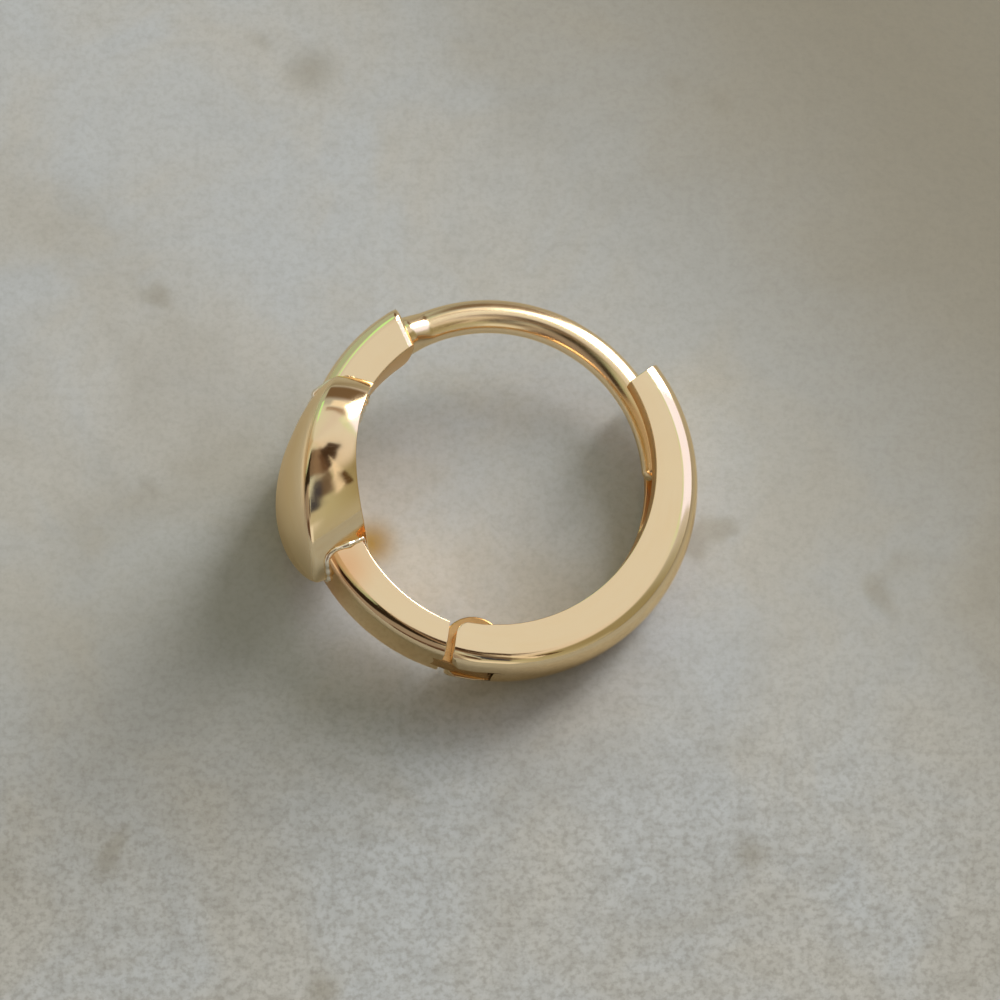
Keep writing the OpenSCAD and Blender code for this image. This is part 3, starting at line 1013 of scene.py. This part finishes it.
def stone():
    material = bpy.data.materials.new("pale_stone")
    material.use_nodes = True
    tree = material.node_tree
    shader = tree.nodes["Principled BSDF"]
    here = tree.nodes.new("ShaderNodeTexCoord").outputs["Object"]
    clouds = ramped(tree, noise_node(tree, here, *CLOUD_NOISE), *CLOUD_CUT)
    colour = mixed(tree, clouds, (*STONE_COOL, 1), (*STONE_WARM, 1))
    blotches = ramped(tree, noise_node(tree, here, *BLOTCH_NOISE), *BLOTCH_CUT)
    colour = mixed(tree, blotches, colour, (*STONE_BROWN, 1))
    # Painted shade: the stone turns browner towards the ear post side, where the light falls off.
    apart = tree.nodes.new("ShaderNodeSeparateXYZ")
    linked(tree, here, apart.inputs[0])
    slanted = math_node(tree, "MULTIPLY", apart.outputs["Y"], SHADED_SLANT)
    aside = math_node(tree, "ADD", apart.outputs["X"], slanted)
    colour = mixed(tree, ramped(tree, aside, *SHADED_SIDE), colour, (*STONE_BROWN, 1))
    spots = ramped(tree, noise_node(tree, here, *SPOT_NOISE), *SPOT_CUT)
    colour = mixed(tree, spots, colour, (*STONE_BROWN, 1))
    for at, reach, share, tone in STAINS_AND_PAINTED_LIGHT:
        away = tree.nodes.new("ShaderNodeVectorMath")
        away.operation = "DISTANCE"
        linked(tree, here, away.inputs[0])
        away.inputs[1].default_value = at
        share = ramped(tree, away.outputs["Value"], reach, 0.0, 0.0, share)
        colour = mixed(tree, share, colour, (*tone, 1))
    grain = noise_node(tree, here, *GRAIN_NOISE)
    speckle = noise_node(tree, here, *SPECKLE_NOISE)
    coarse = ramped(tree, apart.outputs["Y"], *COARSE_FRONT)
    for dots, cut in ((grain, GRAIN_CUT), (speckle, SPECKLE_CUT)):
        share = math_node(tree, "MULTIPLY", ramped(tree, dots, *cut), coarse)
        colour = mixed(tree, share, colour, (*STONE_GRAIN, 1))
    linked(tree, colour, shader.inputs["Base Color"])
    shader.inputs["Roughness"].default_value = STONE_ROUGH
    shader.inputs["Specular IOR Level"].default_value = STONE_GLOSS
    bump = tree.nodes.new("ShaderNodeBump")
    bump.inputs["Strength"].default_value = STONE_BUMP[0]
    bump.inputs["Distance"].default_value = STONE_BUMP[1]
    linked(tree, grain, bump.inputs["Height"])
    linked(tree, bump.outputs["Normal"], shader.inputs["Normal"])
    return material


floor_shape = bmesh.new()
bmesh.ops.create_grid(floor_shape, x_segments=FLOOR_CUTS, y_segments=FLOOR_CUTS, size=FLOOR_HALF)
floor = as_object("floor", floor_shape)
floor.data.materials.append(stone())


# The light: a bright window to the back and ear side, a pale ceiling, and a darker room behind the
# camera. The room is drawn in the world by direction, so that the polished gold has it to reflect:
# walls by azimuth, the ceiling by azimuth, and patches over both, each between a low and a high line,
# all in degrees.
WALL = (
    (-180, (0.42, 0.31, 0.19)),
    (-150, (0.42, 0.30, 0.18)),
    (-128, (0.29, 0.26, 0.17)),
    (-108, (0.28, 0.24, 0.16)),
    (-96, (0.46, 0.41, 0.33)),
    (-84, (0.54, 0.50, 0.40)),
    (-68, (0.47, 0.46, 0.33)),
    (-56, (0.38, 0.35, 0.22)),
    (-40, (0.31, 0.27, 0.16)),
    (-18, (0.31, 0.28, 0.17)),
    (-5, (0.43, 0.42, 0.35)),
    (6, (0.62, 0.60, 0.62)),
    (60, (0.72, 0.64, 0.64)),
    (78, (0.46, 0.46, 0.47)),
    (105, (0.44, 0.48, 0.42)),
    (125, (0.42, 0.54, 0.42)),
    (150, (0.44, 0.38, 0.28)),
    (180, (0.42, 0.31, 0.19)),
)
CEILING = (
    (-180, (0.50, 0.38, 0.24)),
    (-130, (0.62, 0.60, 0.48)),
    (-95, (0.68, 0.70, 0.62)),
    (-55, (0.72, 0.64, 0.56)),
    (-20, (0.76, 0.70, 0.66)),
    (30, (0.745, 0.735, 0.72)),
    (60, (0.70, 0.66, 0.66)),
    (95, (0.70, 0.72, 0.66)),
    (140, (0.56, 0.55, 0.46)),
    (180, (0.50, 0.38, 0.24)),
)
WALL_TOP = (46, 60)
WINDOW = (12.0, 11.6, 11.4)
CURTAIN = (1.04, 1.06, 1.45)
DARK = (0.025, 0.016, 0.009)
PATCHES = (
    # tone, azimuths, side softness, low line, high line, softness of both lines
    ((0.80, 0.77, 0.70), (-181, -73), 5, -14, 12, (4, 5)),
    ((0.80, 0.77, 0.70), (150, 181), 8, -14, 12, (4, 5)),
    ((0.44, 0.42, 0.33), (-72, -40), 4, -14, 0, (1, 24)),
    ((0.30, 0.25, 0.215), (-152, -95), 3, -14, ((-148, 26), (-133, 38), (-112, 56)), (2, 3)),
    ((0.10, 0.055, 0.035), (-124, -100), 2, -4, ((-124, 8), (-112, 12), (-100, 18)), (2, 5)),
    (
        (0.38, 0.44, 0.30),
        (-150, -100),
        5,
        ((-150, 43), (-127, 60), (-100, 76)),
        ((-150, 51), (-127, 69), (-100, 83)),
        (2, 3),
    ),
    (
        DARK,
        (-150, -82),
        4,
        ((-148, 20), (-134, 30), (-112, 51), (-84, 54)),
        ((-148, 41), (-131, 57), (-104, 77), (-84, 82)),
        (5, 2),
    ),
    ((0.25, 0.18, 0.13), (-84, -52), 3, ((-84, 60), (-70, 57), (-52, 70)), 80, (3, 3)),
    ((0.12, 0.07, 0.045), (-69, -56), 3, ((-69, 56), (-56, 62)), 74, (3, 3)),
    ((0.15, 0.11, 0.08), (-78, -64), 3, 37, ((-78, 47), (-64, 56)), (5, 3)),
    ((0.055, 0.032, 0.02), (-60, -18), 4, ((-60, 61), (-32, 70)), 78, (4, 3)),
    ((0.62, 0.66, 0.60), (-82, -79), 2, 30, 55, (5, 4)),
    ((0.09, 0.05, 0.035), (-88, -83), 3, 24, 36, (4, 6)),
    ((0.05, 0.05, 0.07), (-78, -73), 2.5, 27, 46, (4, 14)),
    ((0.88, 0.78, 0.66), (-61, -52), 3, ((-61, 32), (-52, 40)), ((-61, 44), (-52, 66)), (3, 6)),
    ((0.09, 0.05, 0.02), (-55, -50), 1.5, 35, 47, (4, 4)),
    ((0.17, 0.115, 0.07), (63, 91), 6, 8, 30, (9, 12)),
    ((0.92, 0.84, 0.74), (36, 78), 4, 44, 54, (5, 2)),
    ((0.36, 0.27, 0.21), (34, 82), 5, 58, 60, (2, 3)),
    ((0.60, 1.10, 0.50), (94, 103), 4, 44, 68, (5, 4)),
    (
        (0.68, 0.78, 0.60),
        (6, 46),
        4,
        ((6, 50), (14, 58), (31, 61)),
        ((6, 54), (14, 62), (31, 65)),
        (2, 2),
    ),
    (CURTAIN, (9, 38), 3, 5, ((6, 44), (14, 56), (31, 59), (38, 57)), (4, 2)),
    (WINDOW, (37, 57), 2, 5, ((37, 57), (46, 54), (57, 50)), (4, 2)),
)
# Azimuths at which the room is cut, so that a ray works out fewer of the patches that it can't meet.
SECTOR_ENDS = (-180, -127, -90, -63, -12, 61, 180)
HALF_TURN = 180

world = bpy.data.worlds.new("room")
bpy.context.scene.world = world
world.use_nodes = True
room = world.node_tree
room.nodes.clear()
room_out = room.nodes.new("ShaderNodeOutputWorld")
looking = room.nodes.new("ShaderNodeSeparateXYZ")
linked(room, room.nodes.new("ShaderNodeTexCoord").outputs["Generated"], looking.inputs[0])
around = math_node(room, "ARCTAN2", looking.outputs[1], looking.outputs[0])
azimuth = math_node(room, "MULTIPLY", around, HALF_TURN / math.pi)
height = math_node(room, "MULTIPLY", math_node(room, "ARCSINE", looking.outputs[2]), HALF_TURN / math.pi)


def shifted(value, by):
    if isinstance(value, bpy.types.NodeSocket):
        return math_node(room, "ADD", value, by)
    return value + by


def between(value, low, high, soft):
    """One between low and high, fading to nothing over soft degrees under and over them."""
    rise = ramped(room, value, shifted(low, -soft[0]), low)
    fall = ramped(room, value, high, shifted(high, soft[1]), 1.0, 0.0)
    return math_node(room, "MULTIPLY", rise, fall)


def edge_line(corners):
    """A height for each azimuth, on straight lines through the corners."""
    if not isinstance(corners, tuple):
        return corners
    line = corners[0][1]
    for (one, low), (other, high) in zip(corners, corners[1:]):
        line = math_node(room, "ADD", line, ramped(room, azimuth, one, other, 0.0, high - low, smooth=False))
    return line


def toned(tones):
    """The colour by azimuth."""
    node = room.nodes.new("ShaderNodeValToRGB")
    linked(room, ramped(room, azimuth, -HALF_TURN, HALF_TURN, smooth=False), node.inputs[0])
    stops = node.color_ramp.elements
    while len(stops) < len(tones):
        stops.new(0.5)
    for stop, (a, tone) in zip(stops, tones):
        stop.position = (a + HALF_TURN) / (2 * HALF_TURN)
        stop.color = (*tone, 1)
    return node.outputs["Color"]


def sector(start, stop, colour):
    """The light between two azimuths: the plain room with the patches that reach in there."""
    for tone, (first, last), side_soft, low, high, soft in PATCHES:
        if first - side_soft < stop and last + side_soft > start:
            across = between(azimuth, first, last, (side_soft, side_soft))
            upward = between(height, edge_line(low), edge_line(high), soft)
            share = math_node(room, "MULTIPLY", across, upward)
            colour = mixed(room, share, colour, (*tone, 1))
    light = room.nodes.new("ShaderNodeBackground")
    linked(room, colour, light.inputs["Color"])
    return light.outputs[0]


plain = mixed(room, ramped(room, height, *WALL_TOP), toned(WALL), toned(CEILING))
lit = sector(SECTOR_ENDS[-2], SECTOR_ENDS[-1], plain)
for start, stop in reversed(list(zip(SECTOR_ENDS[:-2], SECTOR_ENDS[1:-1]))):
    joined = room.nodes.new("ShaderNodeMixShader")
    linked(room, math_node(room, "GREATER_THAN", azimuth, stop), joined.inputs[0])
    linked(room, sector(start, stop, plain), joined.inputs[1])
    linked(room, lit, joined.inputs[2])
    lit = joined.outputs[0]
linked(room, lit, room_out.inputs["Surface"])


# The camera: nearly over the hoop, at the photo's angle and from as far as a long lens would be.
# Its ways and its aim are in hoop millimetres.
CAMERA_RIGHT = Vector((0.98972, 0, 0.143))
CAMERA_UP = Vector((-0.03757, 0.9649, 0.26))
CAMERA_BACK = Vector((-0.13799, -0.2627, 0.955))
CAMERA_AIM = CAMERA_RIGHT * 0.1286 - CAMERA_UP * 0.543
CAMERA_AWAY = 250
LENS = 315
SENSOR = 36
CLIP = (0.01, 10)

camera = bpy.data.objects.new("camera", bpy.data.cameras.new("camera"))
bpy.context.scene.collection.objects.link(camera)
camera.data.lens = LENS
camera.data.sensor_width = SENSOR
camera.data.clip_start, camera.data.clip_end = CLIP
axes = Matrix([hoop_turn @ way.normalized() for way in (CAMERA_RIGHT, CAMERA_UP, CAMERA_BACK)]).transposed()
camera.matrix_world = Matrix.Translation(LAID @ (CAMERA_AIM + CAMERA_BACK * CAMERA_AWAY)) @ axes.to_4x4()
bpy.context.scene.camera = camera
bpy.context.scene.view_settings.view_transform = "Standard"
